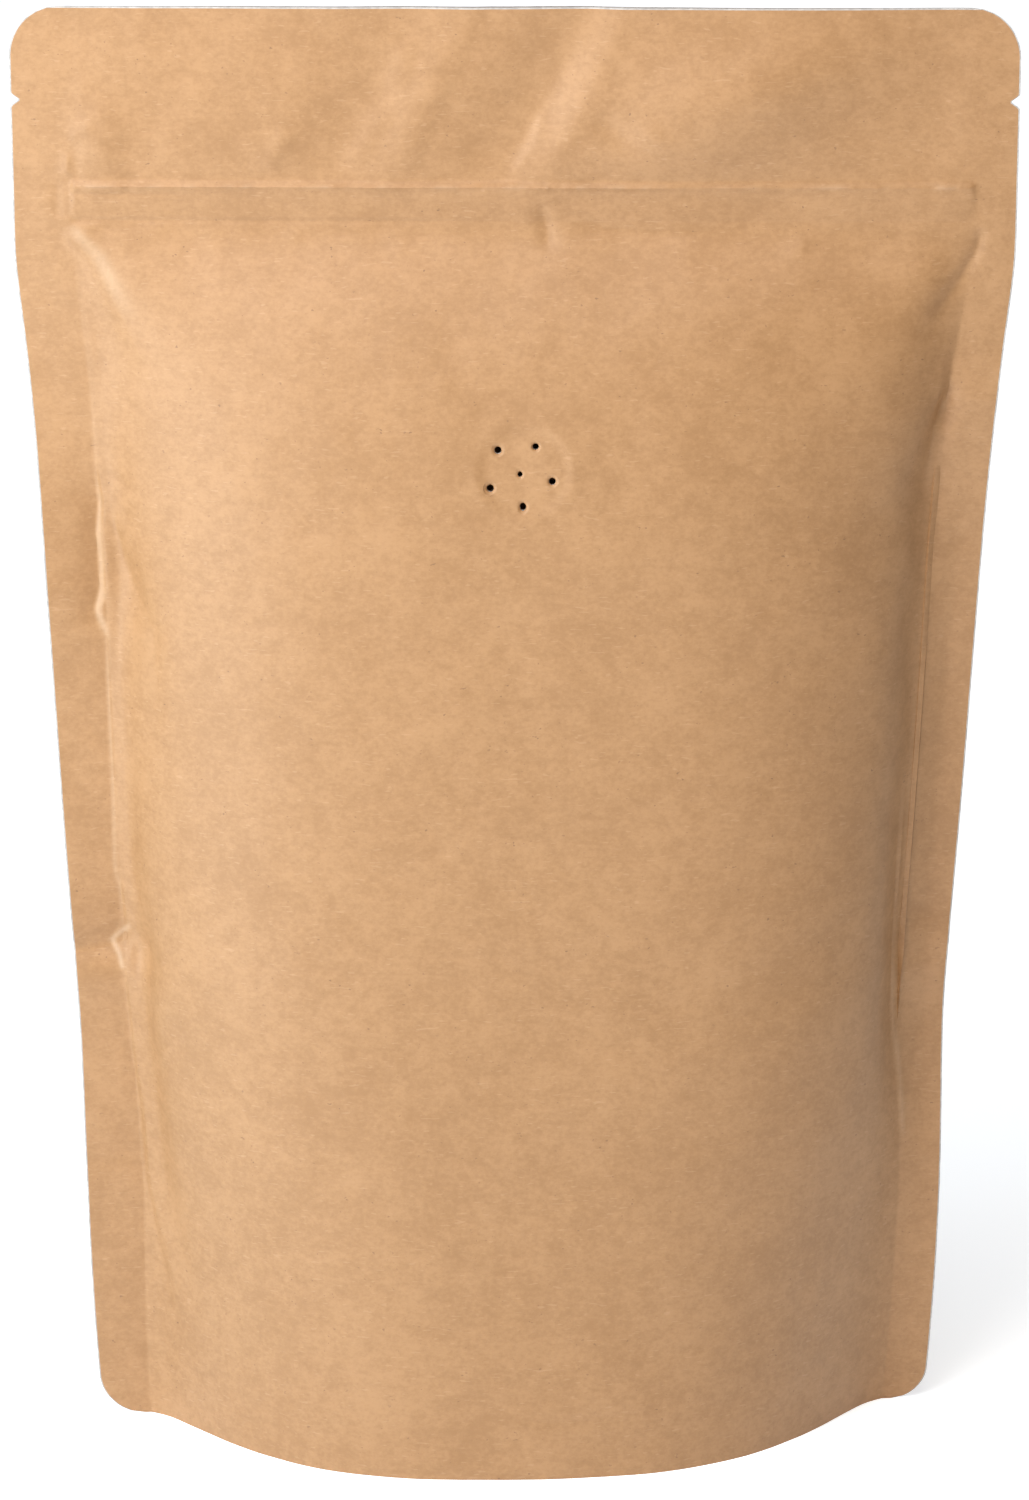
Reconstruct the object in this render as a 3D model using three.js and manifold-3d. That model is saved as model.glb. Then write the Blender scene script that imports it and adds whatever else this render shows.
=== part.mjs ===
// A filled stand-up pouch of kraft paper laminate: side seals, a press-to-close
// zip under the top edge, tear notches, a gusseted base and a degassing valve.
// Millimetres, +Z up, front towards -Y, origin on the floor under the middle.
import * as THREE from "three";
import { mergeVertices } from "three/addons/utils/BufferGeometryUtils.js";
import Module from "manifold-3d";

const wasm = await Module();
wasm.setup();

// ---- Driving dimensions ----

// The pouch as it lies flat: u runs across from the middle, v up from the bottom edge.
const flatWidth = 200;
const flatHeight = 303;
const cornerRadius = 10;
const sealThickness = 0.8; // two webs fused, doubled in thickness for a sound solid

// Width of the heat seal down each side, as [height, width] from the base up.
const seals = {
  left: [[0, 10], [95, 10.4], [200, 12.2], [flatHeight, 11.5]],
  right: [[0, 9], [50, 9], [110, 10.4], [190, 10.6], [225, 10], [255, 8.5], [flatHeight, 8.5]],
};

// The zip shows as a band with a ridge along each edge.
const zip = { low: 260, high: 268, ridge: 0.7, ridgeWidth: 1.3, band: 0.35 };
const notch = { below: 18.7, depth: 1.9, halfHeight: 1.3 };

// How far the filled pouch stands out from its middle plane.
const fill = {
  atZip: 0.5,
  shoulder: 17, // depth gained in the shoulder under the zip
  shoulderLength: 19.4,
  shoulderSoft: 8, // eases the start of the shoulder
  slope: 0.05, // further depth for each millimetre down
  growth: 0.00013, // and the slope's own growth
};

// Across the pouch the sheet bends away from the middle by bend * t^blunt. It eases
// off just before the side seal, and near the base a wave turns it back into the seal.
const section = {
  blunt: 2.4,
  baseBlunt: 1.5,
  ease: 0.5,
  easeLength: 8,
  wave: 2,
  waveShare: 0.3,
  baseHeight: 100, // how far up the base's own section reaches
  steps: 120,
};
const topTwist = THREE.MathUtils.degToRad(-3.4); // the top edge is turned a little on the base

// Folds where the side seals buckle under the fill: place, reach and depth.
// Height is measured on the flat pouch, and a negative depth is a raised fold.
const folds = [
  { u: -80, v: 249, across: 5, along: 9, depth: -1.4 }, // pleats from the zip's ends
  { u: 84, v: 250, across: 6, along: 8, depth: -1 },
  { u: -82, v: 231, across: 7, along: 15, depth: 1.8 }, // flat places under the pleats
  { u: 85, v: 239, across: 7, along: 9, depth: 1.2 },
  { u: -83.5, v: 180, across: 5, along: 12, depth: 2.4 }, // upper pinch in the left side
  { u: -87.5, v: 188, across: 3, along: 12, depth: -1 },
  { u: -85, v: 104, across: 5, along: 5, depth: 2.2 }, // lower pinch in the left side
  { u: -87.5, v: 115, across: 3, along: 8, depth: -1 },
  { u: 83, v: 221, across: 5, along: 10, depth: 1.8 }, // pinches in the right side
  { u: 84, v: 76, across: 5, along: 14, depth: 1.4 },
];

// Kinks that carry the whole seal forward (+) or back (-) out of its plane.
const kinks = [
  { side: -1, v: 106, along: 4, shift: -1.8 },
  { side: -1, v: 98, along: 5, shift: 0.8 },
  { side: -1, v: 180, along: 14, shift: -1 },
  { side: 1, v: 99, along: 7, shift: 1.2 },
  { side: 1, v: 216, along: 14, shift: -1.2 },
];

// Waves in the slack of the two webs above the zip.
const slack = [
  { u: -24, v: 287, across: 9, along: 14, height: 0.8 },
  { u: 9, v: 284, across: 8, along: 13, height: 0.8 },
  { u: 38, v: 290, across: 14, along: 12, height: 0.6 },
  { u: -70, v: 286, across: 16, along: 12, height: 0.5 },
];

// Under the base the gusset sags to the floor inside a standing rim.
const gusset = {
  rim: 1.6, // thickness of the rim
  sealHeight: 10, // height of the gusset's seal at the middle
  sealRise: 3, // further height at the ends
  halfLength: 78,
  sag: 0.7, // how far the web would pass the floor, which flattens it
};

const valve = {
  u: 2,
  v: 209.3,
  radius: 9.6,
  thickness: 1.6,
  proud: 0.4,
  gap: 0.3, // between the valve and its pocket
  holeRing: 6.6,
  ringShift: [-1, -0.6], // the holes are punched a little off the valve's middle
  holeRadius: 0.7,
  middleHoleRadius: 0.45,
  holes: 5,
  firstHole: THREE.MathUtils.degToRad(60),
};

const halfWidth = flatWidth / 2;
const paper = new THREE.MeshStandardMaterial({ color: 0xc99a6b, roughness: 0.85, metalness: 0 });
const plastic = new THREE.MeshStandardMaterial({ color: 0x8f6b49, roughness: 0.5, metalness: 0 });

// ---- The filled form ----

function smooth(x) {
  const c = THREE.MathUtils.clamp(x, 0, 1);
  return c * c * (3 - 2 * c);
}

const bell = (x) => Math.exp(-x * x);

// Where the seal ends and the filled part begins, at height v.
function sealInner(u, v) {
  const widths = u < 0 ? seals.left : seals.right;
  const i = Math.max(widths.findIndex(([height]) => height >= v), 1);
  const [[lowV, lowWidth], [highV, highWidth]] = [widths[i - 1], widths[i]];
  return halfWidth - THREE.MathUtils.lerp(lowWidth, highWidth, (v - lowV) / (highV - lowV));
}

// Half the pouch's depth at its middle, at height v.
function halfDepth(v) {
  const below = Math.max(zip.low - v, 0);
  const w = Math.hypot(below, fill.shoulderSoft) - fill.shoulderSoft;
  const shoulder = fill.shoulder * (1 - Math.exp(-w / fill.shoulderLength));
  return fill.atZip + shoulder + fill.slope * w + fill.growth * w * w;
}

// The bend of the sheet at share t of the way from the middle to the seal.
function bendShape(t, v, inner) {
  const raised = smooth(v / section.baseHeight); // 0 at the base, 1 above it
  const blunt = THREE.MathUtils.lerp(section.baseBlunt, section.blunt, raised);
  const wave = section.waveShare * (1 - raised);
  const ease = section.ease * raised * (1 - smooth(((1 - t) * inner) / section.easeLength));
  return ((1 - wave) * t ** blunt + wave * Math.sin(Math.PI * t ** section.wave)) * (1 - ease);
}

// The sheet's path from the middle (0) to the seal (1) at height v: how far it
// has gone sideways, and how far back, with the bend that gives the right depth.
const paths = new Map();
function pathAt(v, inner) {
  const key = v.toFixed(3) + "/" + inner.toFixed(3);
  if (paths.has(key)) return paths.get(key);
  const shape = [];
  for (let i = 0; i < section.steps; i++) {
    shape.push(bendShape((i + 0.5) / section.steps, v, inner));
  }
  const step = inner / section.steps;
  const reach = (bend) => shape.reduce((sum, s) => sum + Math.sin(bend * s) * step, 0);
  let low = 0;
  let high = 1.9;
  for (let i = 0; i < 40; i++) {
    const middle = (low + high) / 2;
    if (reach(middle) < halfDepth(v)) low = middle;
    else high = middle;
  }
  const across = [0];
  const back = [0];
  shape.forEach((s, i) => {
    across.push(across[i] + Math.cos(low * s) * step);
    back.push(back[i] + Math.sin(low * s) * step);
  });
  const path = { across, back };
  paths.set(key, path);
  return path;
}

// Heights above the floor: the slanting sheet stands lower than it lies flat.
const heightStep = 1;
const heights = [0];
for (let v = 0; v < flatHeight; v += heightStep) {
  const slant = (halfDepth(v + heightStep) - halfDepth(v)) / heightStep;
  heights.push(heights[heights.length - 1] + heightStep * Math.sqrt(1 - slant * slant));
}

function readTable(table, place) {
  const i = Math.min(Math.floor(place), table.length - 2);
  return THREE.MathUtils.lerp(table[i], table[i + 1], place - i);
}

// What stands out from or sinks into the smooth sheet, measured outwards.
function relief(u, v) {
  const inside = smooth((sealInner(u, v) - Math.abs(u)) / 3);
  let out = zip.ridge * (bell((v - zip.low) / zip.ridgeWidth) + bell((v - zip.high) / zip.ridgeWidth));
  if (v > zip.low && v < zip.high) out += zip.band;
  for (const s of slack) out += s.height * bell((u - s.u) / s.across) * bell((v - s.v) / s.along);
  for (const f of folds) out -= f.depth * bell((u - f.u) / f.across) * bell((v - f.v) / f.along);
  return out * inside;
}

// How far a kink carries the sheet out of its plane, both faces together.
function kinkShift(u, v) {
  const share = smooth((Math.abs(u) - 78) / 20);
  const near = kinks.filter((k) => k.side * u > 0);
  return near.reduce((sum, k) => sum - k.shift * share * bell((v - k.v) / k.along), 0);
}

// A point of the pouch's face: side -1 is the front, 1 the back.
function facePoint(u, v, side) {
  const inner = sealInner(u, v);
  const path = pathAt(v, inner);
  const place = (Math.min(Math.abs(u), inner) / inner) * section.steps;
  const x = Math.sign(u) * (readTable(path.across, place) + Math.max(Math.abs(u) - inner, 0));
  const depth = path.back[section.steps] - readTable(path.back, place);
  const lift = side < 0 ? relief(u, v) : relief(-u, v) * 0.7;
  const y = side * Math.max(depth + sealThickness / 2 + lift, sealThickness / 2) + kinkShift(u, v);
  const turn = topTwist * smooth(v / flatHeight);
  return new THREE.Vector3(
    x * Math.cos(turn) - y * Math.sin(turn),
    x * Math.sin(turn) + y * Math.cos(turn),
    readTable(heights, v / heightStep),
  );
}

// ---- The mesh of the pouch ----

// The outline's half width at height v: round corners and the tear notches.
function outlineAt(v) {
  const fromEnd = Math.min(v, flatHeight - v);
  if (fromEnd < cornerRadius) {
    return halfWidth - cornerRadius + Math.sqrt(cornerRadius ** 2 - (cornerRadius - fromEnd) ** 2);
  }
  const fromNotch = Math.abs(flatHeight - notch.below - v);
  return halfWidth - notch.depth * Math.max(1 - fromNotch / notch.halfHeight, 0);
}

function rowHeights() {
  const cornerSteps = 4;
  const rows = [];
  for (let i = 0; i <= cornerSteps; i++) {
    rows.push(cornerRadius * (1 - Math.cos((i / cornerSteps) * (Math.PI / 2))));
  }
  const corner = [...rows];
  for (let v = 18; v < 250; v += 8) rows.push(v);
  const { low, high, ridgeWidth } = zip;
  rows.push(low - 8, low - 4, low - ridgeWidth, low, low + ridgeWidth);
  rows.push(high - ridgeWidth, high, high + ridgeWidth, high + 6);
  const cut = flatHeight - notch.below;
  rows.push(cut - notch.halfHeight, cut, cut + notch.halfHeight);
  for (const v of corner.reverse()) rows.push(flatHeight - v);
  return rows;
}

function columnPlaces() {
  const half = [0, 8, 16, 24, 32, 40, 48, 55, 62, 68, 74, 79, 83, 86.5, 89, 91.5, 95.5, 100];
  return [...half.slice(1).reverse().map((u) => -u), ...half];
}

// Columns near the edge close up where the outline is narrower.
function columnAt(u, v) {
  const fixed = 79;
  const over = Math.max(Math.abs(u) - fixed, 0);
  const share = (outlineAt(v) - fixed) / (halfWidth - fixed);
  return Math.sign(u) * (Math.min(Math.abs(u), fixed) + over * share);
}

// One closed mesh from two sheets of points with the same rows and columns.
function closedSheets(front, back) {
  const rows = front.length;
  const columns = front[0].length;
  const points = [...front.flat(), ...back.flat()];
  const at = (r, c) => r * columns + c;
  const shift = rows * columns;
  const index = [];
  const quad = (a, b, c, d) => index.push(a, b, c, a, c, d);
  for (let r = 0; r < rows - 1; r++) {
    for (let c = 0; c < columns - 1; c++) {
      quad(at(r, c), at(r, c + 1), at(r + 1, c + 1), at(r + 1, c));
      quad(at(r, c) + shift, at(r + 1, c) + shift, at(r + 1, c + 1) + shift, at(r, c + 1) + shift);
    }
    const last = columns - 1;
    quad(at(r, 0), at(r + 1, 0), at(r + 1, 0) + shift, at(r, 0) + shift);
    quad(at(r, last), at(r, last) + shift, at(r + 1, last) + shift, at(r + 1, last));
  }
  for (let c = 0; c < columns - 1; c++) {
    const top = rows - 1;
    quad(at(0, c), at(0, c) + shift, at(0, c + 1) + shift, at(0, c + 1));
    quad(at(top, c), at(top, c + 1), at(top, c + 1) + shift, at(top, c) + shift);
  }
  const geometry = new THREE.BufferGeometry();
  const flat = points.flatMap((p) => [p.x, p.y, p.z]);
  geometry.setAttribute("position", new THREE.Float32BufferAttribute(flat, 3));
  geometry.setIndex(index);
  return geometry;
}

function pouchSheets() {
  const rows = rowHeights();
  const columns = columnPlaces();
  const sheet = (side) => rows.map((v) => columns.map((u) => facePoint(columnAt(u, v), v, side)));
  return closedSheets(sheet(-1), sheet(1));
}

// The space under the gusset, as a solid to cut away: its roof meets the rim at
// the seal's height and comes down to the floor in the middle.
function gussetSpace() {
  const lengthSteps = 20;
  const crossSteps = 12;
  const roof = [];
  const floor = [];
  for (let i = 0; i <= crossSteps; i++) {
    const w = Math.sin(((i / crossSteps) * 2 - 1) * (Math.PI / 2));
    roof.push([]);
    floor.push([]);
    for (let j = 0; j <= lengthSteps; j++) {
      const along = (j / lengthSteps) * 2 - 1;
      const u = along * gusset.halfLength;
      const seal = gusset.sealHeight + gusset.sealRise * along ** 2;
      const rise = 1 - (1 - w ** 4) * (1 - along ** 6);
      const topRim = facePoint(u, seal, 1);
      const baseRim = facePoint(u, 0, 1);
      const height = (seal + gusset.sag) * rise - gusset.sag;
      roof[i].push(new THREE.Vector3(topRim.x, w * (topRim.y - gusset.rim), height));
      floor[i].push(new THREE.Vector3(baseRim.x, w * (baseRim.y - gusset.rim), -2));
    }
  }
  return closedSheets(roof, floor);
}

// ---- The valve ----

// The valve's frame: its middle on the front face, Z along the way out.
function valveFrame() {
  const centre = facePoint(valve.u, valve.v, -1);
  const reach = valve.radius;
  const across = facePoint(valve.u + reach, valve.v, -1).sub(facePoint(valve.u - reach, valve.v, -1));
  const up = facePoint(valve.u, valve.v + reach, -1).sub(facePoint(valve.u, valve.v - reach, -1));
  const out = across.clone().cross(up).normalize();
  across.normalize();
  return new THREE.Matrix4().makeBasis(across, out.clone().cross(across), out).setPosition(centre);
}

function disc(radius, low, high, sides) {
  const geometry = new THREE.CylinderGeometry(radius, radius, high - low, sides);
  return geometry.rotateX(Math.PI / 2).translate(0, 0, (low + high) / 2);
}

function valveSolid() {
  const back = valve.proud - valve.thickness;
  let solid = toSolid(disc(valve.radius, back, valve.proud, 48));
  const [shiftX, shiftY] = valve.ringShift;
  const cut = (radius, x, y) => {
    const hole = disc(radius, back - 1, valve.proud + 1, 12).translate(x + shiftX, y + shiftY, 0);
    solid = solid.subtract(toSolid(hole));
  };
  cut(valve.middleHoleRadius, 0, 0);
  for (let i = 0; i < valve.holes; i++) {
    const turn = valve.firstHole + (i / valve.holes) * 2 * Math.PI;
    cut(valve.holeRadius, valve.holeRing * Math.cos(turn), valve.holeRing * Math.sin(turn));
  }
  return solid;
}

// ---- Solids and the finished group ----

function toSolid(geometry) {
  const bare = geometry.clone();
  bare.deleteAttribute("normal");
  bare.deleteAttribute("uv");
  const merged = mergeVertices(bare, 1e-3);
  return new wasm.Manifold(
    new wasm.Mesh({
      numProp: 3,
      vertProperties: new Float32Array(merged.getAttribute("position").array),
      triVerts: new Uint32Array(merged.index.array),
    }),
  );
}

function toMesh(name, solid, material) {
  const made = solid.getMesh();
  const geometry = new THREE.BufferGeometry();
  geometry.setAttribute("position", new THREE.BufferAttribute(made.vertProperties, 3));
  geometry.setIndex(new THREE.BufferAttribute(made.triVerts, 1));
  geometry.computeVertexNormals();
  const mesh = new THREE.Mesh(geometry, material);
  mesh.name = name;
  return mesh;
}

const frame = valveFrame();
const pocketFloor = valve.proud - valve.thickness - valve.gap;
const pocket = disc(valve.radius + valve.gap, pocketFloor, valve.proud + 4, 48).applyMatrix4(frame);

const pouch = toMesh(
  "pouch",
  toSolid(pouchSheets()).subtract(toSolid(gussetSpace())).subtract(toSolid(pocket)),
  paper,
);
const valveMesh = toMesh("valve", valveSolid(), plastic);
valveMesh.applyMatrix4(frame);

const bag = new THREE.Group();
bag.add(pouch, valveMesh);

export default bag;
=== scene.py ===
import math

import bpy
import numpy as np
from mathutils import Matrix, Vector
from mathutils.kdtree import KDTree


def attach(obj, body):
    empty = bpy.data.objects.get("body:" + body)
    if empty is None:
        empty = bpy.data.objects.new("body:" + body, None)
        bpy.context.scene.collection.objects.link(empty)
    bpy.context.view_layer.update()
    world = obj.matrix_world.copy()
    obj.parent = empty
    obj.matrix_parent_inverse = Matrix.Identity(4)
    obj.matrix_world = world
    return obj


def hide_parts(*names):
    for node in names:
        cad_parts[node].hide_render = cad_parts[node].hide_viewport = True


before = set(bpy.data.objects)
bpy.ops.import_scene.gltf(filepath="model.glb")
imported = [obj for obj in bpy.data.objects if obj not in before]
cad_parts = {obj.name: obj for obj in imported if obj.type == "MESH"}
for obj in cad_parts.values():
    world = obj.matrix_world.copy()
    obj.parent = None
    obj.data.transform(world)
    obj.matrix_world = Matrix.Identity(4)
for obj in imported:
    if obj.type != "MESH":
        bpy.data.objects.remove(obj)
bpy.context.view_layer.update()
mm = 0.001  # lengths below are in millimetres and become metres on the meshes

# The pouch laid flat: u runs across from its middle, v up from its bottom edge.
pouch = {
    "flatWidth": 200,
    "flatHeight": 303,
    "cornerRadius": 10,
    "lowCorners": (8.8, 7),  # left, right
    "sealThickness": 0.5,
    # the two seals: (height, width)
    "leftSeal": ((0, 10), (25, 11), (50, 12), (75, 11.2), (95, 10.4), (200, 12.2), (303, 11.5)),
    "rightSeal": ((0, 9), (50, 9), (110, 10.4), (190, 10.6), (225, 10), (255, 8.5), (303, 8.5)),
    "notchBelow": 18.7,  # from the top edge
    "notchDepth": 1.9,
    "notchHalfHeight": 1.3,
    # half the filled depth, from the zip down
    "depthAtZip": 0.5,
    "shoulderDepth": 17,
    "shoulderLength": 19.4,
    "shoulderSoft": 8,
    "slope": 0.05,
    "growth": 0.00013,
    # how the panel bends on its way out to the seal: a high number keeps its middle flat
    "blunt": 2.4,
    "baseBlunt": 1.5,
    "topBlunt": 1,
    "topReach": (6, 10),  # from how far below the zip, and over what height
    "mostBend": 1.9,
    "ease": (0.5, 0.1),  # left, right: how far the bend lets go beside the seal
    "baseEase": 0.35,
    "easeLength": 8,
    "wave": 2,  # at the base the panel swings back to the seal
    "waveShare": 0.3,
    "baseHeight": 100,  # where the base's form ends
    "topTwist": -3.4,  # degrees
    # the right seal curls back along the body's flank: (height, how far), and over what width
    "curl": ((0, 0.3), (30, 0.5), (55, 1.4), (75, 3), (95, 4), (160, 3.9), (190, 2.6), (203, 1.4),
             (212, 0.4), (220, -0.5), (230, 0)),
    "curlWidth": 6.5,
    # the left seal's outer edge stands forward: (height, how far)
    "lean": ((0, 0.2), (60, 0.5), (98, 0.5), (108, 1.6), (118, 1), (150, 0.7), (165, 1.1), (180, 2.2),
             (195, 1.6), (215, 0), (235, -0.9), (265, -0.9), (285, -0.3), (303, 0)),
    "sharpAngle": 38,  # degrees, where the shading breaks
}
halfWidth = pouch["flatWidth"] / 2
flatHeight = pouch["flatHeight"]
zipLow = 260


def smooth(x):
    c = np.clip(x, 0, 1)
    return c * c * (3 - 2 * c)


def bell(x):
    return np.exp(-x * x)


def atHeight(table, v):  # reads a table of (height, value)
    heights, values = zip(*table)
    return np.interp(v, heights, values)


def sealInner(side, v):  # where the seal ends and the filled part begins
    return halfWidth - atHeight(pouch["rightSeal"] if side > 0 else pouch["leftSeal"], v)


def sealInnerAt(u, v):
    return np.where(u > 0, sealInner(1, v), sealInner(-1, v))


def halfDepth(v):
    below = np.maximum(zipLow - v, 0)
    w = np.hypot(below, pouch["shoulderSoft"]) - pouch["shoulderSoft"]
    shoulder = pouch["shoulderDepth"] * (1 - np.exp(-w / pouch["shoulderLength"]))
    return pouch["depthAtZip"] + shoulder + pouch["slope"] * w + pouch["growth"] * w * w


def sheetPaths(side, v, inner, steps=160, halvings=40):  # each row's path from the middle to its seal
    t = (np.arange(steps) + 0.5) / steps
    raised = smooth(v / pouch["baseHeight"])[:, None]  # 0 at the base, 1 above it
    blunt = pouch["baseBlunt"] + (pouch["blunt"] - pouch["baseBlunt"]) * raised
    topBelow, topHeight = pouch["topReach"]
    blunt += (pouch["topBlunt"] - pouch["blunt"]) * smooth((v[:, None] - zipLow + topBelow) / topHeight)
    wave = pouch["waveShare"] * (1 - raised)
    fromSeal = (1 - t) * inner[:, None] / pouch["easeLength"]
    ease = pouch["baseEase"] + (pouch["ease"][side > 0] - pouch["baseEase"]) * raised
    ease = ease * (1 - smooth(fromSeal))
    shape = ((1 - wave) * t**blunt + wave * np.sin(np.pi * t ** pouch["wave"])) * (1 - ease)
    step = (inner / steps)[:, None]
    low = np.zeros((len(v), 1))
    high = np.full((len(v), 1), pouch["mostBend"])
    for _ in range(halvings):  # find the bend that reaches the right depth
        middle = (low + high) / 2
        short = (np.sin(middle * shape) * step).sum(1, keepdims=True) < halfDepth(v)[:, None]
        low = np.where(short, middle, low)
        high = np.where(short, high, middle)
    start = np.zeros((len(v), 1))
    across = np.hstack([start, np.cumsum(np.cos(low * shape) * step, 1)])
    back = np.hstack([start, np.cumsum(np.sin(low * shape) * step, 1)])
    return across, back


# The slanting sheet stands lower than it lies flat.
flatSteps = np.arange(0.0, flatHeight + 1)
slants = np.diff(halfDepth(flatSteps))
standing = np.concatenate([[0], np.cumsum(np.sqrt(1 - slants**2))])


def sheetPoints(face, u, v):  # face -1 is the front, 1 the back; u is a table, v one height per row
    x = np.zeros_like(u)
    y = np.zeros_like(u)
    for side in (-1, 1):
        inner = sealInner(side, v)
        across, back = sheetPaths(side, v, inner)
        ticks = np.arange(across.shape[1])
        for row in range(len(v)):
            mine = u[row] * side >= 0
            out = np.abs(u[row][mine])
            place = np.minimum(out, inner[row]) / inner[row] * ticks[-1]
            fin = np.maximum(out - inner[row], 0)
            x[row, mine] = side * (np.interp(place, ticks, across[row]) + fin)
            y[row, mine] = face * (back[row, -1] - np.interp(place, ticks, back[row]))
    z = np.repeat(np.interp(v, flatSteps, standing)[:, None], u.shape[1], 1)
    return np.stack([x, y, z], -1)


def outwardNormals(points, face):
    across = np.gradient(points, axis=1)
    up = np.gradient(points, axis=0)
    normal = np.cross(across, up) * -face
    return normal / np.linalg.norm(normal, axis=-1, keepdims=True)


def between(ends, share):
    return ends[0] + (ends[1] - ends[0]) * share


# Folds are creases along a line of (u, v) points: height, width at either end, and
# how far the ends fade. A power of 1 is a sharp fold, 2 a round one. A line drawn
# downwards can have another width to its east.
def creaseRelief(u, v, creases):
    out = np.zeros_like(u)
    for crease in creases:
        points = np.array(crease["line"], float)
        lengths = np.linalg.norm(np.diff(points, axis=0), axis=1)
        starts = np.concatenate([[0], np.cumsum(lengths)])
        nearest = np.full(u.shape, 1e9)
        along = np.zeros_like(u)
        east = np.zeros(u.shape, bool)
        for i, length in enumerate(lengths):
            direction = (points[i + 1] - points[i]) / length
            du = u - points[i, 0]
            dv = v - points[i, 1]
            t = np.clip(du * direction[0] + dv * direction[1], 0, length)
            distance = np.hypot(du - t * direction[0], dv - t * direction[1])
            closer = distance < nearest
            nearest = np.where(closer, distance, nearest)
            along = np.where(closer, (starts[i] + t) / starts[-1], along)
            east = np.where(closer, direction[0] * dv - direction[1] * du > 0, east)
        width = between(crease["width"], along)
        if "east" in crease:
            width = np.where(east, between(crease["east"], along), width)
        fadeIn, fadeOut = crease.get("fade", (0.3, 0.3))
        taper = smooth(along / fadeIn) * smooth((1 - along) / fadeOut)
        out += crease["height"] * taper * np.exp(-((nearest / width) ** crease.get("power", 1.4)))
    return out


def dentRelief(u, v, dents):  # (u, v, reach across, reach up, height, turn in degrees)
    out = np.zeros_like(u)
    for du, dv, across, up, height, turn in dents:
        c = math.cos(math.radians(turn))
        s = math.sin(math.radians(turn))
        a = ((u - du) * c + (v - dv) * s) / across
        b = (-(u - du) * s + (v - dv) * c) / up
        out += height * bell(a) * bell(b)
    return out


def softUnevenness(u, v, seed, height, longest, shortest, waves=26):
    rng = np.random.default_rng(seed)
    out = np.zeros_like(u)
    for _ in range(waves):
        length = rng.uniform(shortest, longest)
        angle = rng.uniform(0, math.pi)
        phase = rng.uniform(0, 2 * math.pi)
        out += np.sin((u * math.cos(angle) + v * math.sin(angle)) * 2 * math.pi / length + phase)
    return out * height / math.sqrt(waves)


folds = {
    # the large folds, shared with the back: u, v, reach across, reach up, height, turn
    "large": (
        (-76, 249, 8, 9, 0.7, 0),
        (82, 247, 6, 8, 0.8, 0),
        (76, 226, 11, 16, 1.2, 0),
        (-80, 231, 6, 12, -0.7, 0),
        (87, 236, 4, 8, -0.3, 0),
        (-83, 182, 5, 12, -1.1, 0),
        (-85, 104, 5, 5, -1.3, 0),
    ),
    # a small mound and a hollow above the zip
    "slack": (
        (-82, 272, 5, 5, 0.45, 15),
        (70, 284, 16, 9, -0.3, 20),
    ),
    # kinks that carry the whole seal out of its plane: side, v, reach up, shift back
    "kinks": (
        (-1, 98, 5, -0.8),
        (1, 99, 7, -1.2),
    ),
    "kinkStart": 78,  # how far out the kinks begin
    "kinkReach": 20,
}

# The two webs above the zip wave together: steep on the left of each wave, long on
# its right, as (u at v 284, height), and leaning to the right on their way up.
webWaves = {
    "profile": ((-95, 0), (-72, 0.15), (-46, 0.6), (-30, -0.45), (-17, 1), (-12, 0.35), (5, -1.2),
                (15, 1.1), (32, 1.4), (60, 0.6), (92, -0.8), (120, -0.8)),
    "mounds": ((46, 285, 21, 11, 2.9, 20), (-84, 279, 7, 6, 0.9, 30)),  # as the large folds
    "moundRise": 10,
    "lean": 0.45,
    "middle": 284,
    "start": 264,
    "fullAt": 277,
    "topShare": 0.5,
    "endStart": 80,  # how far out they die away
    "endReach": 12,
}


def webShift(u, v):
    w = webWaves
    q = u - w["lean"] * (v - w["middle"])
    out = np.zeros_like(u)
    for (start, low), (end, high) in zip(w["profile"][:-1], w["profile"][1:]):
        inside = (q >= start) & (q < end)
        out = np.where(inside, low + (high - low) * smooth((q - start) / (end - start)), out)
    share = smooth((v - w["start"]) / (w["fullAt"] - w["start"]))
    share *= 1 - (1 - w["topShare"]) * smooth((v - w["middle"]) / (flatHeight - w["middle"]))
    out = out * share + dentRelief(u, v, w["mounds"]) * smooth((v - w["start"]) / w["moundRise"])
    return -out * (1 - smooth((np.abs(u) - w["endStart"]) / w["endReach"]))


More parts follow.
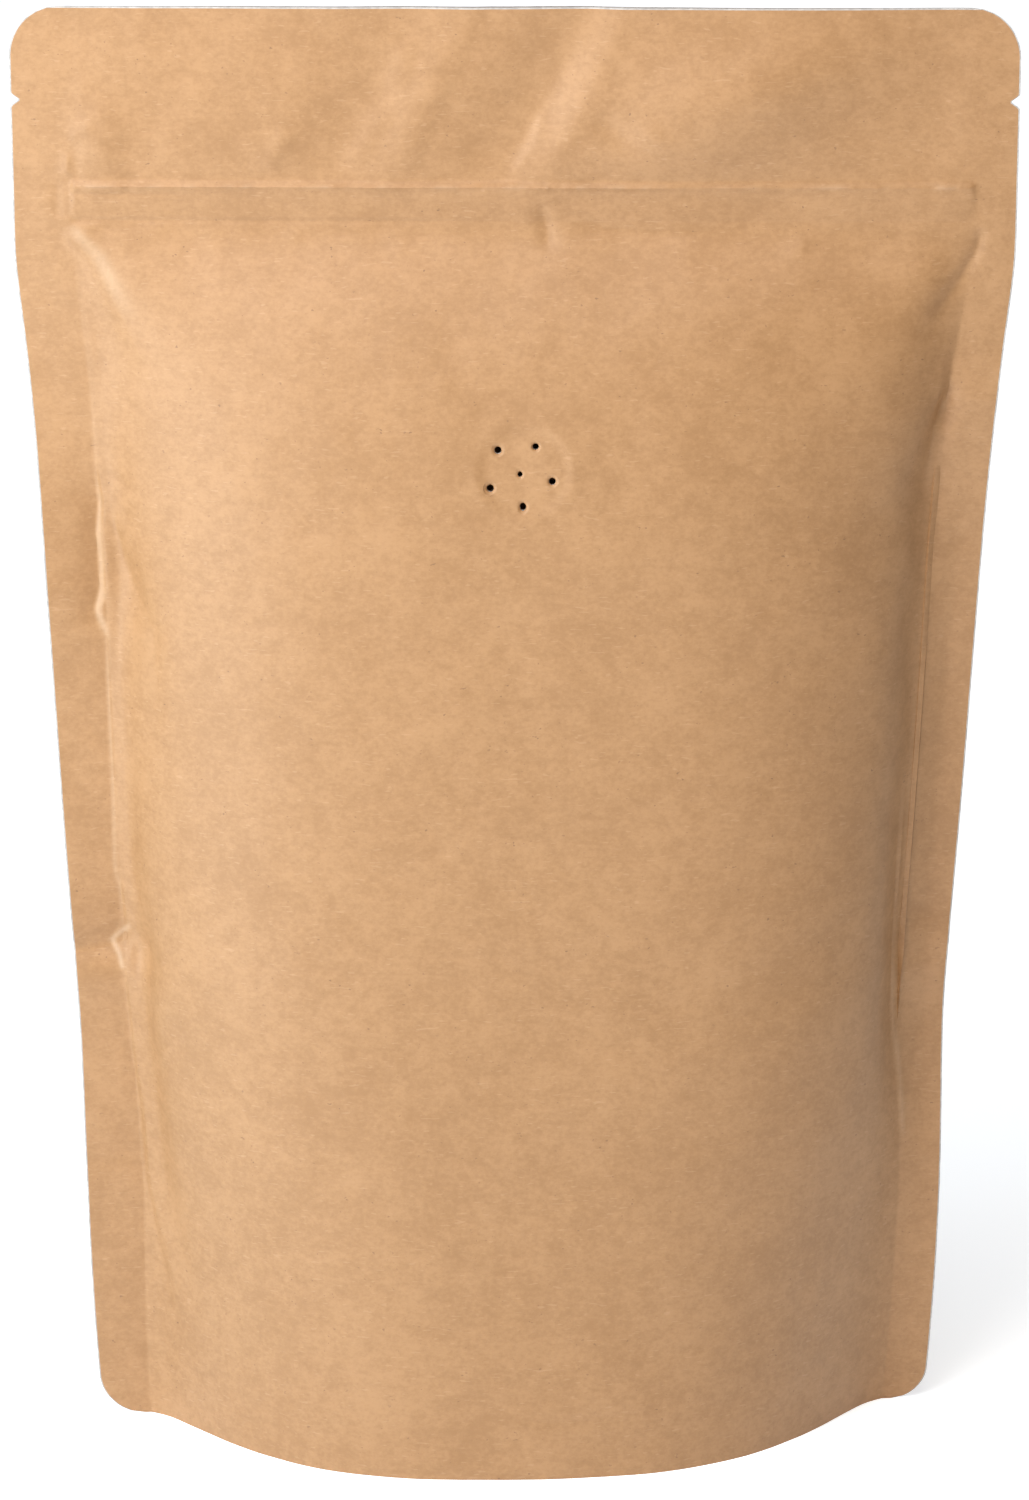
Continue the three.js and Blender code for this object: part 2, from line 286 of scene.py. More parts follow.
frontCreases = (
    # pleats that run from the zip's ends into the body
    {"line": ((-89.8, 259), (-83.4, 251.8), (-80.3, 243.7), (-77.8, 237.2), (-75.2, 230), (-73, 222)),
     "height": 1, "width": (1, 4.5), "east": (3, 12), "fade": (0.12, 0.5)},
    {"line": ((-88.4, 276), (-86.6, 278), (-83, 279)), "height": 0.3, "width": (1, 1.2)},
    {"line": ((-89, 268.5), (-89, 274)), "height": 0.35, "width": (1.2, 1.2)},
    {"line": ((-86, 258), (-80, 258.8), (-70, 259.6)), "height": -0.25, "width": (1.6, 1.2)},
    {"line": ((93.3, 259.4), (92, 253), (90, 248.2), (87.4, 243), (84.6, 238), (80, 230)),
     "height": -0.65, "width": (0.8, 3), "fade": (0.1, 0.6)},
    # the lip where the left seal begins, the hollows beside it and its run over the base
    {"line": ((-87.6, 224), (-87.5, 205), (-86.9, 198.5), (-87.9, 192), (-87.6, 186.6), (-87.8, 180),
              (-89.2, 176), (-88, 172.4), (-88, 166), (-88.2, 149), (-88.9, 130), (-89.4, 121),
              (-88.5, 116), (-88.6, 110), (-91.2, 105.4), (-90, 102), (-89.4, 99), (-88.6, 81),
              (-86.6, 69), (-86.2, 53), (-84.4, 44), (-82.4, 37), (-80.6, 28), (-76.5, 18)),
     "height": 0.4, "width": (0.7, 0.7), "east": (1.6, 2.4), "power": 1.7, "fade": (0.1, 0.15)},
    {"line": ((-88.8, 207), (-88.4, 198), (-89.4, 192), (-89.2, 186), (-89.4, 180), (-90.6, 176),
              (-89.6, 170)),
     "height": -0.8, "width": (3, 3), "east": (0.8, 0.8), "power": 1.5, "fade": (0.25, 0.25)},
    {"line": ((-86.4, 202), (-85.4, 194), (-84.2, 187), (-82, 182), (-76, 174), (-75.6, 158), (-78, 146)),
     "height": -0.7, "width": (0.9, 8), "east": (1, 3), "fade": (0.2, 0.5)},
    {"line": ((-85, 148), (-86.5, 125), (-84.5, 98), (-83, 76), (-82, 56), (-77, 38), (-72, 20)),
     "height": -0.3, "width": (2.4, 3), "power": 2, "fade": (0.2, 0.2)},
    # the fold that starts the dark flank beside the right seal, and the thin ridge below it
    {"line": ((91.2, 225), (89.6, 219), (88, 213), (87.6, 204), (87.6, 186)),
     "height": -1.5, "width": (1, 9), "east": (1.4, 5), "power": 1.7, "fade": (0.2, 0.5)},
    {"line": ((89.4, 216), (88.6, 190), (88.4, 160), (88.5, 120), (89, 88), (90.5, 60)),
     "height": -1.6, "width": (6, 8), "east": (3, 3), "power": 2, "fade": (0.2, 0.25)},
    {"line": ((87.9, 150), (88.3, 121.4), (89.3, 99.6), (89.3, 85.2), (90.6, 77), (92, 58)),
     "height": 0.35, "width": (0.7, 0.8), "power": 1.6, "fade": (0.35, 0.15)},
    {"line": ((60, 40), (63, 28), (66, 16)), "height": -0.3, "width": (2, 4), "power": 1.8},
    # short wrinkles under and over the zip
    {"line": ((-59.7, 259.3), (-61.3, 254)), "height": 0.24, "width": (0.9, 1.6)},
    {"line": ((-43.3, 258.8), (-44.3, 255.2)), "height": 0.2, "width": (0.8, 1.4)},
    {"line": ((-25, 259.5), (-22, 252)), "height": 0.24, "width": (1, 2.8)},
    {"line": ((-44, 281), (-46, 275), (-50, 269.5)), "height": 0.5, "width": (1, 3), "east": (0.8, 1)},
    {"line": ((-24, 284), (-29, 276), (-33, 269.5)), "height": 0.4, "width": (4, 3), "east": (0.9, 0.9)},
    {"line": ((16, 283), (21, 277), (27, 274)), "height": -0.6, "width": (2.2, 1.6), "fade": (0.3, 0.5)},
    {"line": ((24, 281), (28, 277), (34, 274)), "height": 0.45, "width": (1.6, 1.6), "fade": (0.3, 0.5)},
    {"line": ((6, 283), (4, 276), (-1, 269)), "height": 0.5, "width": (0.9, 1.4), "east": (3, 3)},
    {"line": ((-20, 298), (-22, 291), (-24, 286)), "height": 0.4, "width": (2.6, 3), "east": (0.8, 0.8)},
    {"line": ((5, 265), (6.6, 258), (6.8, 252.5)), "height": -0.5, "width": (1, 2.2)},
    {"line": ((12, 262), (17, 258.6), (30, 257.6), (52, 257.6)), "height": -0.3, "width": (1.6, 1.6),
     "fade": (0.1, 0.6)},
    {"line": ((60, 259), (55, 252)), "height": 0.22, "width": (0.9, 2)},
    # the gusset's seal shows as a line over the base
    {"line": ((22.9, 13.8), (26.3, 15)), "height": 0.22, "width": (0.6, 0.8)},
    {"line": ((-2, 12.4), (12, 12), (24, 13)), "height": -0.16, "width": (0.8, 0.8)},
)

backCreases = (
    {"line": ((88.7, 260.6), (84, 252), (77, 242), (70, 233)),
     "height": 0.8, "width": (0.7, 3.4), "fade": (0.06, 0.6)},
    {"line": ((-92, 261), (-89, 252), (-84, 242), (-77, 230)),
     "height": -0.7, "width": (0.8, 4), "fade": (0.05, 0.5)},
    {"line": ((64, 259.4), (61, 253)), "height": 0.22, "width": (0.9, 1.8)},
    {"line": ((-18, 259.6), (-15, 251)), "height": 0.2, "width": (0.9, 2)},
    {"line": ((-58, 259.2), (-55, 254)), "height": 0.2, "width": (0.9, 1.8)},
    {"line": ((-84, 168), (-76, 160), (-64, 156)), "height": -0.4, "width": (1.2, 3)},
    {"line": ((84, 118), (77, 110), (66, 106)), "height": -0.4, "width": (1.2, 3)},
)

# The transverse folds across the left seal, and a soft one across the right.
sealFolds = {
    "start": 85,  # how far out they begin
    "reach": 6,
    "folds": (
        {"line": ((-86.5, 107.4), (-88.5, 106.5), (-90.8, 105.2), (-94.8, 104), (-100, 103.4)),
         "depth": 1.9, "above": 6, "below": 3, "soft": 0.8},
        {"line": ((-87, 60), (-93, 58), (-100, 56.4)), "depth": 0.5, "above": 4, "below": 1.6, "soft": 0.5},
        {"line": ((86, 103), (91, 101), (100, 99)), "depth": 0.5, "above": 6, "below": 3, "soft": 2},
    ),
}


def sealFoldRelief(u, v):
    out = np.zeros_like(u)
    for fold in sealFolds["folds"]:
        points = np.array(fold["line"], float)
        points = points[np.argsort(points[:, 0])]
        over = v - np.interp(u, points[:, 0], points[:, 1])
        reach = np.where(over > 0, fold["above"], fold["below"])
        profile = np.exp(-(np.hypot(over, fold["soft"]) - fold["soft"]) / reach)
        side = np.sign(points[0, 0])
        out -= fold["depth"] * profile * smooth((u * side - sealFolds["start"]) / sealFolds["reach"])
    return out


zipRelief = {
    "ridge": 0.95,  # the upper edge stands out, and the band slopes back from it
    "bandShare": 0.75,
    "bandPower": 1.3,
    "edgeShare": 0.3,
    "upperEdge": 267.1,
    "lowerEdge": 260.3,
    "topFade": 1.4,
    "sharpness": 0.6,
    "faintRight": 0.35,  # how much fainter the ridge is on the right
    "pressMarks": {"seed": 5, "height": 0.13, "longest": 9, "shortest": 1.6, "waves": 18},
    "groove": 0.22,  # under either edge
    "grooveWidths": (0.45, 0.5),  # lower, upper
    "grooveBelow": (0.2, 1.6),
    "plainGroove": 0.2,  # what is left of the lower groove on the right
    # the crushed ends: place, width, share
    "ends": ((92.6, 0.9, 0.3), (-91.2, 1.2, 0.8)),
    "endFade": 1.5,
    "endDepth": 0.22,
}


def zipShape(u, v):
    z = zipRelief
    fromLow = v - z["lowerEdge"]
    fromHigh = v - z["upperEdge"]
    inside = smooth((sealInner(1, v) - u + 0.5) / 1.2) * smooth((sealInner(-1, v) + u + 0.5) / 1.2)
    band = np.clip(fromLow / (z["upperEdge"] - z["lowerEdge"]), 0, 1) ** z["bandPower"]
    band *= 1 - smooth(fromHigh / z["topFade"])
    edge = np.exp(-np.abs(fromHigh) / z["sharpness"])
    marks = softUnevenness(u, v * 0, **z["pressMarks"]) * edge
    crisp = smooth((-u - 4) / 20) * (1 - z["plainGroove"]) + z["plainGroove"]  # crisp on the left only
    lower = bell((fromLow + z["grooveBelow"][0]) / z["grooveWidths"][0]) * crisp
    farLeft = smooth((-u - 55) / 20) * 0.8
    upper = bell((fromHigh + z["grooveBelow"][1]) / z["grooveWidths"][1]) * farLeft
    ends = sum(share * bell((u - place) / width) for place, width, share in z["ends"])
    ends *= smooth(fromLow) * (1 - smooth(fromHigh / z["endFade"]))
    ridge = z["ridge"] * (1 - z["faintRight"] * smooth((u + 10) / 60))
    relief = ridge * (band * z["bandShare"] + edge * z["edgeShare"]) + marks
    return (relief - z["groove"] * (lower + upper)) * inside - z["endDepth"] * ends


valveSize = {
    "u": 2,
    "v": 209.3,
    "radius": 9.6,
    "thickness": 1.6,
    "gap": 0.3,
    "skin": 0.95,  # from the panel's face to the top of the valve's cavity
    "dish": 0.26,  # the paper sinks a little over the valve
    "dishSlope": (2.4, 3),  # from how far inside the valve's edge, and over what width
    "rim": 0.07,
    "rimOut": 0.3,
    "rimWidth": 1.1,
    "chamfer": 0.3,
    "rounding": 0.25,
    "ledge": (1.2, 0.2),  # round the face: width, depth
    "sides": 64,
    "sharpAngle": 35,
}


def valveDish(u, v):
    s = valveSize
    out = np.hypot(u - s["u"], v - s["v"]) - s["radius"]
    sunk = 1 - smooth((out + s["dishSlope"][0]) / s["dishSlope"][1])
    return s["rim"] * bell((out - s["rimOut"]) / s["rimWidth"]) - s["dish"] * sunk


paperWaves = {
    "sealFade": 3,  # they end over this width at the seals
    "front": {"seed": 11, "height": 0.12, "longest": 70, "shortest": 18},
    "ripple": {"seed": 3, "height": 0.03, "longest": 12, "shortest": 5},
    "back": {"seed": 23, "height": 0.16, "longest": 70, "shortest": 18},
    "backShare": 0.7,  # how much of the front's large folds the back has
}


def largeFolds(u, v):
    return dentRelief(u, v, folds["large"]) + dentRelief(u, v, folds["slack"])


def insideSeals(u, v):
    return smooth((sealInnerAt(u, v) - np.abs(u)) / paperWaves["sealFade"])


def frontRelief(u, v):
    uneven = softUnevenness(u, v, **paperWaves["front"])
    return (
        (largeFolds(u, v) + uneven) * insideSeals(u, v)
        + creaseRelief(u, v, frontCreases)
        + sealFoldRelief(u, v)
        + zipShape(u, v)
        + valveDish(u, v)
        + softUnevenness(u, v, **paperWaves["ripple"])
    )


def backRelief(u, v):
    large = paperWaves["backShare"] * largeFolds(-u, v)
    uneven = softUnevenness(u, v, **paperWaves["back"])
    return (large + uneven) * insideSeals(u, v) + creaseRelief(u, v, backCreases) + zipShape(-u, v)


def sealShift(u, v):  # the kinks, the right seal's curl and the left seal's lean
    out = np.zeros_like(u)
    for side, height, along, shift in folds["kinks"]:
        share = smooth((u * side - folds["kinkStart"]) / folds["kinkReach"])
        out += shift * share * bell((v - height) / along)
    flat = 1 - np.clip((u - sealInner(1, v)) / pouch["curlWidth"], 0, 1)
    outward = np.clip((-u - sealInner(-1, v)) / (halfWidth - sealInner(-1, v)), 0, 1)
    return out + atHeight(pouch["curl"], v) * (1 - flat**2) - atHeight(pouch["lean"], v) * outward


def spaced(stops):  # places between stops of (place, spacing from here on)
    places = []
    for (start, step), (end, _) in zip(stops[:-1], stops[1:]):
        count = max(round((end - start) / step), 1)
        places.extend(start + (end - start) * i / count for i in range(count))
    places.append(stops[-1][0])
    if len(places) % 2 == 0:  # an odd number, so that the back can take every second one
        places.insert(-1, (places[-1] + places[-2]) / 2)
    return np.array(places)


edgeBand = 0.3  # the cut edge that shows along the outline
columns = spaced([
    (-halfWidth, edgeBand), (edgeBand - halfWidth, 0.8), (-92.5, 0.4), (-84.5, 0.9), (-74, 1.6),
    (-9, 0.55), (13, 1.6), (74, 0.9), (85, 0.5), (93, 0.8), (halfWidth - edgeBand, edgeBand), (halfWidth, 0),
])
rows = spaced([
    (0, 0.5), (2, 0.9), (17, 1.6), (92, 0.7), (116, 1.5), (165, 1.1), (199, 0.55), (222, 1.3),
    (252, 0.8), (258.5, 0.38), (270.5, 0.9), (282.4, 0.43), (286.2, 0.9), (293, 0.8),
    (flatHeight - edgeBand, edgeBand), (flatHeight, 0),
])


def outlineAt(side, v):  # round corners and the tear notches
    fromEnd = np.minimum(v, flatHeight - v)
    radius = np.where(v < flatHeight / 2, pouch["lowCorners"][side > 0], pouch["cornerRadius"])
    corner = halfWidth - radius + np.sqrt(np.maximum(radius**2 - np.maximum(radius - fromEnd, 0) ** 2, 0))
    fromNotch = np.abs(flatHeight - pouch["notchBelow"] - v)
    notch = pouch["notchDepth"] * np.maximum(1 - fromNotch / pouch["notchHalfHeight"], 0)
    return corner - notch


fixed = 79  # columns further out close up where the outline is narrower
over = np.maximum(np.abs(columns) - fixed, 0)[None, :]
outline = np.where(columns > 0, outlineAt(1, rows)[:, None], outlineAt(-1, rows)[:, None])
share = (outline - fixed) / (halfWidth - fixed)
uTable = np.sign(columns) * (np.minimum(np.abs(columns), fixed) + over * share)
vTable = np.repeat(rows[:, None], len(columns), 1)


def pouchSheets():
    fin = smooth((np.abs(uTable) - sealInnerAt(uTable, vTable) + 1) / 1.5)  # 1 where the panels are sealed
    relief = frontRelief(uTable, vTable)
    thin = pouch["sealThickness"] / 2
    sheets = []
    for face in (-1, 1):
        points = sheetPoints(face, uTable, rows)
        normals = outwardNormals(points, face)
        lift = relief if face < 0 else backRelief(uTable, vTable) * (1 - fin) - relief * fin
        points = points + normals * (thin + lift)[..., None]
        points[..., 1] += sealShift(uTable, vTable) + webShift(uTable, vTable)
        turn = math.radians(pouch["topTwist"]) * smooth(vTable / flatHeight)
        x = points[..., 0] * np.cos(turn) - points[..., 1] * np.sin(turn)
        y = points[..., 0] * np.sin(turn) + points[..., 1] * np.cos(turn)
        z = np.maximum(points[..., 2], 0)
        z[0] = 0
        points = np.stack([x, y, z], -1)
        sheets.append(points)
    return sheets


def addObject(name, data):
    obj = bpy.data.objects.new(name, data)
    bpy.context.collection.objects.link(obj)
    return obj


def meshObject(name, points, faces):
    mesh = bpy.data.meshes.new(name)
    mesh.from_pydata([tuple(p) for p in np.asarray(points) * mm], [], faces)
    mesh.update()
    return addObject(name, mesh)


def closedSheets(name, front, back, backStep=1):
    # two sheets of points joined round their rim; the back may use every second line
    rowCount, columnCount = front.shape[:2]
    points = np.concatenate([front.reshape(-1, 3), back.reshape(-1, 3)])
    shift = rowCount * columnCount

    def at(r, c):
        return r * columnCount + c

    faces = []
    for r in range(rowCount - 1):
        for c in range(columnCount - 1):
            faces.append((at(r, c), at(r, c + 1), at(r + 1, c + 1), at(r + 1, c)))
    for r in range(0, rowCount - 1, backStep):
        for c in range(0, columnCount - 1, backStep):
            r2 = r + backStep
            c2 = c + backStep
            low = range(c, c2) if r == 0 else (c,)
            right = range(r, r2) if c2 == columnCount - 1 else (r,)
            high = range(c2, c, -1) if r2 == rowCount - 1 else (c2,)
            left = range(r2, r, -1) if c == 0 else (r2,)
            ring = [at(r, i) for i in low] + [at(i, c2) for i in right]
            ring += [at(r2, i) for i in high] + [at(i, c) for i in left]
            faces.append(tuple(i + shift for i in reversed(ring)))
    last = columnCount - 1
    top = rowCount - 1
    for r in range(rowCount - 1):
        faces.append((at(r, 0), at(r + 1, 0), at(r + 1, 0) + shift, at(r, 0) + shift))
        faces.append((at(r, last), at(r, last) + shift, at(r + 1, last) + shift, at(r + 1, last)))
    for c in range(columnCount - 1):
        faces.append((at(0, c), at(0, c) + shift, at(0, c + 1) + shift, at(0, c + 1)))
        faces.append((at(top, c), at(top, c + 1), at(top, c + 1) + shift, at(top, c) + shift))
    used = np.zeros(len(points), bool)
    for face in faces:
        used[list(face)] = True
    kept = np.cumsum(used) - 1
    return meshObject(name, points[used], [tuple(int(kept[i]) for i in face) for face in faces])


def stepAt(places, place):  # which step of a row of places holds it, and how far along
    i = np.clip(np.searchsorted(places, place) - 1, 0, len(places) - 2)
    return i, ((place - places[i]) / (places[i + 1] - places[i]))[..., None]


def onSheet(sheet, u, v):  # a point of a sheet, or several, by place
    j, a = stepAt(columns, u)
    i, b = stepAt(rows, v)
    lower = sheet[i, j] * (1 - a) + sheet[i, j + 1] * a
    upper = sheet[i + 1, j] * (1 - a) + sheet[i + 1, j + 1] * a
    return lower * (1 - b) + upper * b


frontSheet, backSheet = pouchSheets()
pouchBody = closedSheets("pouchBody", frontSheet, backSheet, backStep=2)
print("pouch sheets", frontSheet.shape, len(pouchBody.data.polygons), "faces")

gusset = {
    "rim": 1.1,
    "sealHeight": 10,
    "sealRise": 3,
    "halfLength": 78,
    "sag": 0.7,
    "foldDepth": 0.35,  # the gusset's middle fold, where it lies on the floor
    "foldWidth": 0.5,
    "foldSink": 0.02,
    "pucker": 0.35,
    "puckers": (22, 9),  # small and broad ones, round the whole gusset
    "puckerStretch": 1.3,
    "lines": (71, 161),  # across, along
    "cutBelow": 2,
}


def gussetSpace():
    g = gusset
    linesAcross, linesAlong = g["lines"]
    w = np.sin(np.linspace(-1, 1, linesAcross) * math.pi / 2)[:, None]
    along = np.sin(np.linspace(-1, 1, linesAlong) * math.pi / 2)[None, :]
    u = np.repeat(along * g["halfLength"], linesAcross, 0)
    seal = g["sealHeight"] + g["sealRise"] * np.repeat(along, linesAcross, 0) ** 2
    frontTop = onSheet(frontSheet, u, seal)
    backTop = onSheet(backSheet, u, seal)
    frontLow = onSheet(frontSheet, u, seal * 0)
    backLow = onSheet(backSheet, u, seal * 0)
    rise = 1 - (1 - w**4) * (1 - along**6)
    height = (seal + g["sag"]) * rise - g["sag"]
    y = (frontTop[..., 1] + backTop[..., 1]) / 2
    half = (backTop[..., 1] - frontTop[..., 1]) / 2 - g["rim"]
    turn = np.arctan2(w, along * g["puckerStretch"])
    pucker = np.sin(turn * g["puckers"][0]) + np.sin(turn * g["puckers"][1] + 1)
    height = height + g["pucker"] * pucker * rise * (1 - rise) * 2
    height = np.maximum(height, g["foldDepth"] * np.exp(-np.abs(w * half) / g["foldWidth"]) - g["foldSink"])
    roof = np.stack([frontTop[..., 0], y + w * half, height], -1)
    yLow = (frontLow[..., 1] + backLow[..., 1]) / 2
    halfLow = (backLow[..., 1] - frontLow[..., 1]) / 2 - g["rim"]
    floor = np.stack([frontLow[..., 0], yLow + w * halfLow, height * 0 - g["cutBelow"]], -1)
    return closedSheets("gussetSpace", roof, floor)


mouth = {  # the two webs part at the top edge
    "lip": 0.27,
    "lipShare": 0.42,  # at most, of the webs' distance
    "leastGap": 0.25,
    "halfLength": 87,
    "depth": 5,
    "cutAbove": 2,
}


def mouthGroove():
    apart = np.abs(frontSheet[-1, :, 1] - backSheet[-1, :, 1])
    wide = (apart > 2 * mouth["lip"] + mouth["leastGap"]) & (np.abs(columns) < mouth["halfLength"])
    chosen = np.flatnonzero(wide)
    chosen = np.arange(chosen[0], chosen[-1] + 1)
    low = np.searchsorted(rows, flatHeight - mouth["depth"])
    front = frontSheet[low:, chosen].copy()
    back = backSheet[low:, chosen].copy()
    inset = np.minimum(mouth["lip"], (back[..., 1] - front[..., 1]) * mouth["lipShare"])
    front[..., 1] += inset
    back[..., 1] -= inset
    lift = np.array([0, 0, mouth["cutAbove"]])
    front = np.concatenate([front, front[-1:] + lift])
    back = np.concatenate([back, back[-1:] + lift])
    return closedSheets("mouthGroove", front, back)


def valveFrame(outside=2):  # the valve's middle on the front, Z on the way out
    u = np.array(valveSize["u"])
    v = np.array(valveSize["v"])
    reach = valveSize["radius"] + outside
    right = onSheet(frontSheet, u + reach, v)
    left = onSheet(frontSheet, u - reach, v)
    high = onSheet(frontSheet, u, v + reach)
    low = onSheet(frontSheet, u, v - reach)
    across = Vector(right - left).normalized()
    out = across.cross(Vector(high - low)).normalized()
    up = out.cross(across)
    place = Vector(left + right + high + low) / 4 * mm
    turned = Matrix((across, up, out)).transposed().to_4x4()
    return Matrix.Translation(place) @ turned


def lathed(name, profile, sides, frameMatrix=None):  # profile of (radius, height), from axis to axis
    points = []
    starts = []
    for radius, height in profile:
        starts.append(len(points))
        turns = [2 * math.pi * i / sides for i in range(sides if radius else 1)]
        points.extend((radius * math.cos(turn), radius * math.sin(turn), height) for turn in turns)
    faces = []
    for k in range(len(profile) - 1):
        a, b = starts[k], starts[k + 1]
        for i in range(sides):
            j = (i + 1) % sides
            if profile[k][0] == 0:
                faces.append((a, b + j, b + i))
            elif profile[k + 1][0] == 0:
                faces.append((a + i, a + j, b))
            else:
                faces.append((a + i, a + j, b + j, b + i))
    obj = meshObject(name, points, faces)
    if frameMatrix:
        obj.data.transform(frameMatrix)
    return obj


def cutAway(target, cutter):
    modifier = target.modifiers.new("cut", "BOOLEAN")
    modifier.operation = "DIFFERENCE"
    modifier.solver = "MANIFOLD"
    modifier.object = cutter
    bake(target)


def bake(obj):  # turns the evaluated shape into a plain mesh
    bpy.context.view_layer.update()
    depsgraph = bpy.context.evaluated_depsgraph_get()
    mesh = bpy.data.meshes.new_from_object(obj.evaluated_get(depsgraph))
    mesh.name = obj.name
    obj.modifiers.clear()
    obj.data = mesh


def drop(*objects):
    for obj in objects:
        bpy.data.objects.remove(obj)


def feed(node, inputs):  # each input is a value, or the output that feeds it
    for name, value in inputs.items():
        if isinstance(value, bpy.types.NodeSocket):
            node.id_data.links.new(value, node.inputs[name])
        else:
            node.inputs[name].default_value = value


def addNode(tree, kind, inputs=None, **settings):
    node = tree.nodes.new(kind)
    for name, value in settings.items():
        setattr(node, name, value)
    feed(node, inputs or {})
    return node


def addNoise(tree, stretch, size, detail, roughness=0.55, seed=0.0):
    mapping = addNode(tree, "ShaderNodeMapping", {
        "Vector": addNode(tree, "ShaderNodeTexCoord").outputs["Object"],
        "Scale": stretch,
        "Location": (seed, seed * 0.7, seed * 1.3),
    })
    return addNode(tree, "ShaderNodeTexNoise", {
        "Vector": mapping.outputs["Vector"],
        "Scale": 1000 / size,
        "Detail": detail,
        "Roughness": roughness,
    }).outputs["Fac"]


def addMath(tree, operation, first, second):
    return addNode(tree, "ShaderNodeMath", {0: first, 1: second}, operation=operation).outputs[0]


def addRange(tree, value, low, high, toLow=0.0, toHigh=1.0):
    return addNode(tree, "ShaderNodeMapRange", {
        "Value": value, "From Min": low, "From Max": high, "To Min": toLow, "To Max": toHigh,
    }, interpolation_type="SMOOTHSTEP").outputs["Result"]


def addMix(tree, amount, first, second):
    return addNode(tree, "ShaderNodeMix", {0: amount, 6: first, 7: second}, data_type="RGBA").outputs[2]


def addShares(tree, patterns, shares):  # the sum of the named patterns, each times its share
    parts = [addMath(tree, "MULTIPLY", patterns[name], share) for name, share in shares.items()]
    total = parts[0]
    for part in parts[1:]:
        total = addMath(tree, "ADD", total, part)
    return total


def newMaterial(name):
    material = bpy.data.materials.new(name)
    material.use_nodes = True
    return material, material.node_tree, material.node_tree.nodes["Principled BSDF"]


kraftFinish = {
    "light": (0.412, 0.226, 0.1, 1),
    "dark": (0.331, 0.173, 0.07, 1),
    "fleck": (0.17, 0.085, 0.04, 1),
    "fibre": (0.56, 0.35, 0.2, 1),
    # the pale colour of wear and painted highlight on fold crests, and of painted highlight along the zip's
    # upper edge
    "worn": (0.64, 0.47, 0.31, 1),
    "roughness": 0.53,
    "specular": 0.52,
    # stretch, size in millimetres, detail, roughness, seed
    "patterns": {
        "clouds": ((1, 1, 1.2), 20, 3, 0.55, 0.0),
        "mottle": ((1, 1, 1.15), 3.6, 3, 0.6, 3.1),
        "grain": ((0.85, 0.85, 1.15), 1, 3, 0.65, 7.7),
        "streaks": ((0.12, 0.12, 1), 0.8, 2, 0.5, 5.3),
        "flecks": ((0.8, 0.8, 1.2), 0.75, 1, 0.5, 9.2),
        "fleckPatches": ((1, 1, 1), 5, 1, 0.5, 2.4),
        "hairs": ((0.3, 0.3, 1.4), 0.6, 0, 0.5, 4.6),
    },
    "toneShares": {"clouds": 0.26, "mottle": 0.32, "grain": 0.36, "streaks": 0.06},
    "bumpShares": {"grain": 0.6, "streaks": 0.4, "mottle": 2.2},
    "bumpStrength": 0.5,
    "bumpHeight": 0.06,
    # from which value of the pattern to which, and the amounts there
    "toneRange": (0.36, 0.64),
    "fleckRange": (0.7, 0.78),
    "fleckPatchRange": (0.48, 0.64, 0.1, 0.65),
    "hairRange": (0.72, 0.82, 0, 0.2),
}


def kraftMaterial():
    k = kraftFinish
    material, tree, shader = newMaterial("kraft paper")
    pattern = {name: addNoise(tree, *given) for name, given in k["patterns"].items()}
    tone = addShares(tree, pattern, k["toneShares"])
    colour = addMix(tree, addRange(tree, tone, *k["toneRange"]), k["dark"], k["light"])
    fleckMask = addMath(tree, "MULTIPLY", addRange(tree, pattern["flecks"], *k["fleckRange"]),
                        addRange(tree, pattern["fleckPatches"], *k["fleckPatchRange"]))
    colour = addMix(tree, fleckMask, colour, k["fleck"])
    colour = addMix(tree, addRange(tree, pattern["hairs"], *k["hairRange"]), colour, k["fibre"])
    # pale where the mesh marks fold crests and the zip's upper edge: wear and painted highlight
    worn = addNode(tree, "ShaderNodeAttribute", attribute_name="worn")
    colour = addMix(tree, worn.outputs["Fac"], colour, k["worn"])
    bump = addNode(tree, "ShaderNodeBump", {
        "Strength": k["bumpStrength"],
        "Distance": k["bumpHeight"] * mm,
        "Height": addShares(tree, pattern, k["bumpShares"]),
    })
    feed(shader, {
        "Base Color": colour,
        "Roughness": k["roughness"],
        "Specular IOR Level": k["specular"],
        "Normal": bump.outputs["Normal"],
    })
    return material


edgeFinish = {
    "light": (0.5, 0.47, 0.44, 1),
    "dark": (0.375, 0.3525, 0.33, 1),
    "roughness": 0.6,
    "grain": ((1, 1, 1), 1.2, 2),  # stretch, size in millimetres, detail
    "grainRange": (0.35, 0.65),
}
# The valve's plastic is near-black so that the pin holes look dark: painted shade.
valvePaintedShadeFinish = {
    "light": (0.026, 0.016, 0.01, 1),
    "dark": (0.016, 0.01, 0.007, 1),
    "roughness": 0.5,
    "grain": ((1, 1, 1), 1.5, 3),
    "grainRange": (0.3, 0.7),
}


def grainedMaterial(name, finish):
    material, tree, shader = newMaterial(name)
    grain = addRange(tree, addNoise(tree, *finish["grain"]), *finish["grainRange"])
    feed(shader, {
        "Base Color": addMix(tree, grain, finish["dark"], finish["light"]),
        "Roughness": finish["roughness"],
    })
    return material


kraft = kraftMaterial()
cutEdge = grainedMaterial("cut laminate edge", edgeFinish)
valvePlasticPaintedShade = grainedMaterial("valve plastic", valvePaintedShadeFinish)

